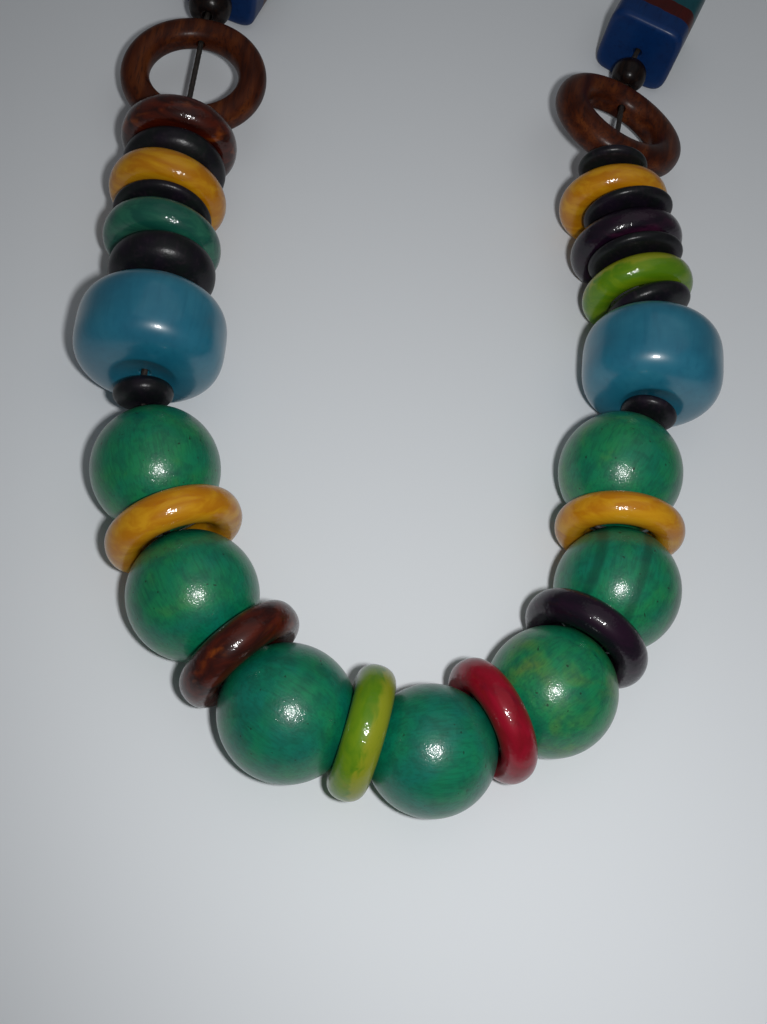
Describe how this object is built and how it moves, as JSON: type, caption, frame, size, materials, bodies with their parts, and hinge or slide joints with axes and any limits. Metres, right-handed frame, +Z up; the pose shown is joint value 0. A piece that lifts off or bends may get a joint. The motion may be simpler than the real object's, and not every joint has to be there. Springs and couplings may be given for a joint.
{
  "type": "beaded necklace",
  "caption": "Beaded necklace of dyed wooden balls, ring beads, barrel beads, flat discs, open hoops and square blocks on one thin cord, lying flat as a whole loop.",
  "frame": {"origin": "on the surface that the necklace lies on, at the middle of its outline in plan", "axes": "+Z up from the surface; +Y along the necklace, from the front balls to the clasp at the back; +X to the right of a viewer at the front"},
  "size_m": [0.154, 0.3224, 0.0306],
  "materials": {
    "green_wood": "dyed green wood under a satin lacquer, faint darker grain and yellow-olive patches",
    "blue_lacquer": "smooth turquoise-blue lacquered wood, soft satin gloss",
    "dark_wood": "near-black dyed wood with a faint purple-grey sheen, satin",
    "black_brown_wood": "near-black brown wood, polished",
    "hoop_wood": "dark red-brown wood with orange-brown streaks, satin",
    "banded_block": "lacquered block in cobalt, red-brown and turquoise bands, satin",
    "yellow_ring": "amber-ochre dyed wood with orange streaks, glossy",
    "brown_ring": "dark red-brown dyed wood with orange mottling, glossy",
    "sea_green_ring": "blue-green dyed wood, glossy",
    "lime_ring": "yellow-green dyed wood, glossy",
    "crimson_ring": "crimson dyed wood, glossy",
    "purple_ring": "near-black aubergine dyed wood with brown-purple mottling, glossy",
    "waxed_cord": "black waxed cotton cord, fine twist, dull",
    "clasp_black": "plain black barrel clasp"
  },
  "bodies": {
    "root": {"block_left": "banded_block", "spacer_left_back": "black_brown_wood", "hoop_left": "hoop_wood", "ring_brown_left": "brown_ring", "disc_left_1": "dark_wood", "ring_yellow_left": "yellow_ring", "disc_left_2": "dark_wood", "ring_green_left": "sea_green_ring", "disc_left_3": "dark_wood", "barrel_left": "blue_lacquer", "spacer_left_front": "dark_wood", "ball_1": "green_wood", "ring_yellow_1": "yellow_ring", "ball_2": "green_wood", "ring_brown": "brown_ring", "ball_3": "green_wood", "ring_lime": "lime_ring", "ball_4": "green_wood", "ring_red": "crimson_ring", "ball_5": "green_wood", "ring_purple": "purple_ring", "ball_6": "green_wood", "ring_yellow_2": "yellow_ring", "ball_7": "green_wood", "spacer_right_front": "dark_wood", "barrel_right": "blue_lacquer", "disc_right_1": "dark_wood", "ring_lime_right": "lime_ring", "disc_right_2": "dark_wood", "ring_purple_right": "purple_ring", "disc_right_3": "dark_wood", "ring_yellow_right": "yellow_ring", "disc_right_4": "dark_wood", "hoop_right": "hoop_wood", "spacer_right_back": "black_brown_wood", "block_right": "banded_block", "cord": "waxed_cord", "clasp": "clasp_black"}
  },
  "joints": []
}
